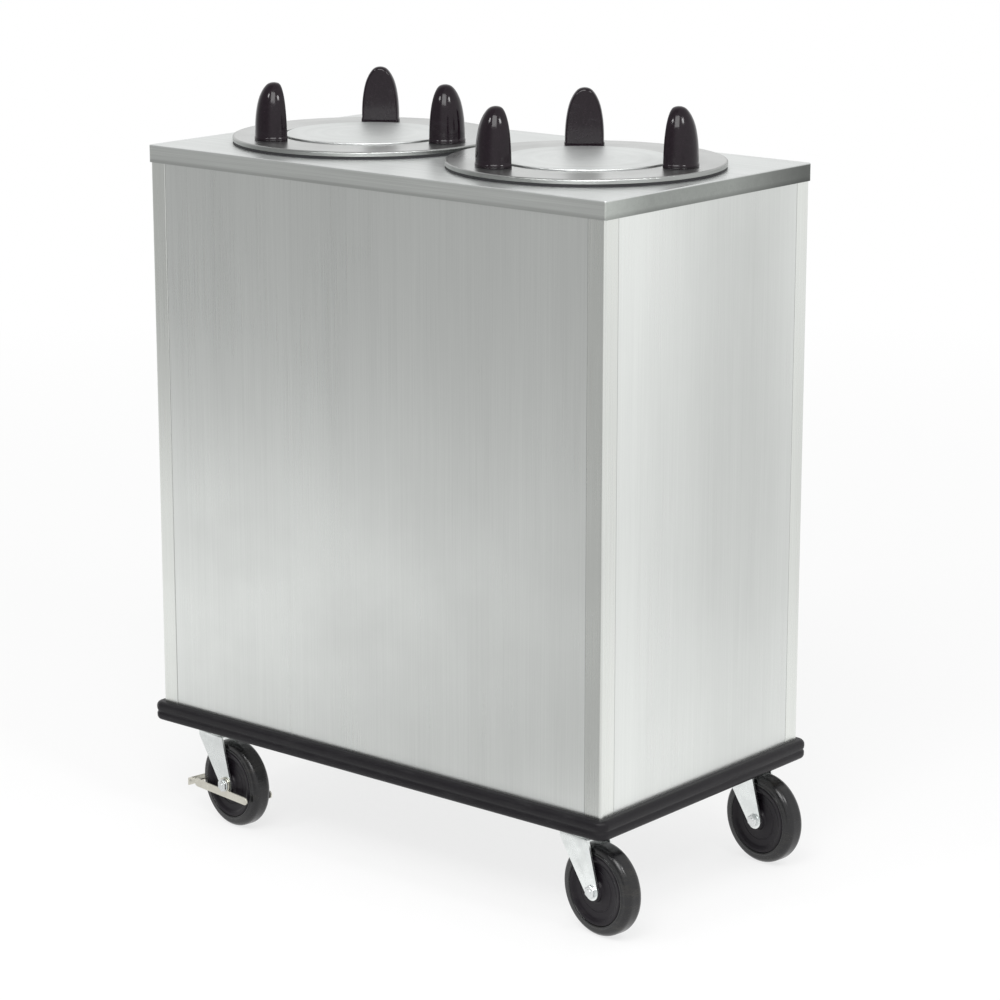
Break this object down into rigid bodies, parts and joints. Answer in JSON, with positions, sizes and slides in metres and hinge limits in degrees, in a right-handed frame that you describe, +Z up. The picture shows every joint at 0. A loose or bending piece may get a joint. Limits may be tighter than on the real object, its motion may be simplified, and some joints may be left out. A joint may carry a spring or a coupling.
{
  "type": "mobile plate dispenser",
  "caption": "Enclosed mobile dispenser that holds two stacks of plates on sprung carriers, with guide posts round each opening, a bumper round the base and swivel casters.",
  "frame": {"origin": "centre of the whole footprint on the floor, with the casters trailing towards +X", "axes": "+Z up; +X along the length towards the end with plain casters; -Y is the broad face that has the braked end at its left"},
  "size_m": [0.8495, 0.461, 1.058],
  "materials": {
    "stainless": "fine brushed satin",
    "flange_stainless": "spun satin",
    "zinc_plated_steel": "bright zinc",
    "post_plastic": "glossy moulded",
    "bumper_vinyl": "satin extruded vinyl",
    "gasket_rubber": "matte",
    "tyre_rubber": "matte",
    "wheel_core_plastic": "satin"
  },
  "bodies": {
    "cabinet": {"deck": "stainless", "deck_brace": "stainless", "base_pan": "stainless", "bumper": "bumper_vinyl", "front_panel": "stainless", "rear_panel": "stainless", "left_panel": "stainless", "right_panel": "stainless", "corner_post_front_left": "stainless", "corner_post_front_right": "stainless", "corner_post_rear_left": "stainless", "corner_post_rear_right": "stainless", "caster_rails": "zinc_plated_steel", "caster_bolts": "zinc_plated_steel", "left_flange_ring": "flange_stainless", "left_ring_gasket": "gasket_rubber", "left_guide_post_1": "post_plastic", "left_guide_post_2": "post_plastic", "left_guide_post_3": "post_plastic", "left_post_screws": "zinc_plated_steel", "left_guide_rods": "zinc_plated_steel", "left_foot_ring": "stainless", "left_lift_springs": "zinc_plated_steel", "right_flange_ring": "flange_stainless", "right_ring_gasket": "gasket_rubber", "right_guide_post_1": "post_plastic", "right_guide_post_2": "post_plastic", "right_guide_post_3": "post_plastic", "right_post_screws": "zinc_plated_steel", "right_guide_rods": "zinc_plated_steel", "right_foot_ring": "stainless", "right_lift_springs": "zinc_plated_steel", "front_left_caster_plate": "zinc_plated_steel", "front_right_caster_plate": "zinc_plated_steel", "rear_left_caster_plate": "zinc_plated_steel", "rear_right_caster_plate": "zinc_plated_steel"},
    "left_carrier": {"left_carrier_plate": "stainless", "left_carrier_spider": "stainless"},
    "right_carrier": {"right_carrier_plate": "stainless", "right_carrier_spider": "stainless"},
    "front_left_swivel": {"front_left_caster_fork": "zinc_plated_steel", "front_left_axle_bolt": "zinc_plated_steel"},
    "front_left_wheel": {"front_left_wheel_core": "wheel_core_plastic", "front_left_tyre": "tyre_rubber"},
    "front_left_brake": {"front_left_brake_lever": "zinc_plated_steel"},
    "front_right_swivel": {"front_right_caster_fork": "zinc_plated_steel", "front_right_axle_bolt": "zinc_plated_steel"},
    "front_right_wheel": {"front_right_wheel_core": "wheel_core_plastic", "front_right_tyre": "tyre_rubber"},
    "rear_left_swivel": {"rear_left_caster_fork": "zinc_plated_steel", "rear_left_axle_bolt": "zinc_plated_steel"},
    "rear_left_wheel": {"rear_left_wheel_core": "wheel_core_plastic", "rear_left_tyre": "tyre_rubber"},
    "rear_left_brake": {"rear_left_brake_lever": "zinc_plated_steel"},
    "rear_right_swivel": {"rear_right_caster_fork": "zinc_plated_steel", "rear_right_axle_bolt": "zinc_plated_steel"},
    "rear_right_wheel": {"rear_right_wheel_core": "wheel_core_plastic", "rear_right_tyre": "tyre_rubber"}
  },
  "joints": [
    {"name": "left_carrier_lift", "type": "slide", "parent": "cabinet", "child": "left_carrier", "axis": [0, 0, 1], "range_m": [-0.5, 0], "stiffness_N_per_m": 650, "springref_m": 0.06, "deforming": ["left_lift_springs"]},
    {"name": "right_carrier_lift", "type": "slide", "parent": "cabinet", "child": "right_carrier", "axis": [0, 0, 1], "range_m": [-0.5, 0], "stiffness_N_per_m": 650, "springref_m": 0.06, "deforming": ["right_lift_springs"]},
    {"name": "front_left_caster_swivel", "type": "hinge", "parent": "cabinet", "child": "front_left_swivel", "pos_m": [-0.33732, -0.1805, 0.1448], "axis": [0, 0, 1], "continuous": true},
    {"name": "front_left_wheel_spin", "type": "hinge", "parent": "front_left_swivel", "child": "front_left_wheel", "pos_m": [-0.30366, -0.18523, 0.0625], "axis": [0.1392, 0.9903, 0], "continuous": true},
    {"name": "front_left_brake_press", "type": "hinge", "parent": "front_left_swivel", "child": "front_left_brake", "pos_m": [-0.30366, -0.18523, 0.0625], "axis": [-0.1392, -0.9903, 0], "range_deg": [0, 14]},
    {"name": "front_right_caster_swivel", "type": "hinge", "parent": "cabinet", "child": "front_right_swivel", "pos_m": [0.32768, -0.1805, 0.1448], "axis": [0, 0, 1], "continuous": true},
    {"name": "front_right_wheel_spin", "type": "hinge", "parent": "front_right_swivel", "child": "front_right_wheel", "pos_m": [0.36135, -0.18523, 0.0625], "axis": [0.1392, 0.9903, 0], "continuous": true},
    {"name": "rear_left_caster_swivel", "type": "hinge", "parent": "cabinet", "child": "rear_left_swivel", "pos_m": [-0.33732, 0.1805, 0.1448], "axis": [0, 0, 1], "continuous": true},
    {"name": "rear_left_wheel_spin", "type": "hinge", "parent": "rear_left_swivel", "child": "rear_left_wheel", "pos_m": [-0.30366, 0.17577, 0.0625], "axis": [0.1392, 0.9903, 0], "continuous": true},
    {"name": "rear_left_brake_press", "type": "hinge", "parent": "rear_left_swivel", "child": "rear_left_brake", "pos_m": [-0.30366, 0.17577, 0.0625], "axis": [-0.1392, -0.9903, 0], "range_deg": [0, 14]},
    {"name": "rear_right_caster_swivel", "type": "hinge", "parent": "cabinet", "child": "rear_right_swivel", "pos_m": [0.32768, 0.1805, 0.1448], "axis": [0, 0, 1], "continuous": true},
    {"name": "rear_right_wheel_spin", "type": "hinge", "parent": "rear_right_swivel", "child": "rear_right_wheel", "pos_m": [0.36135, 0.17577, 0.0625], "axis": [0.1392, 0.9903, 0], "continuous": true}
  ]
}
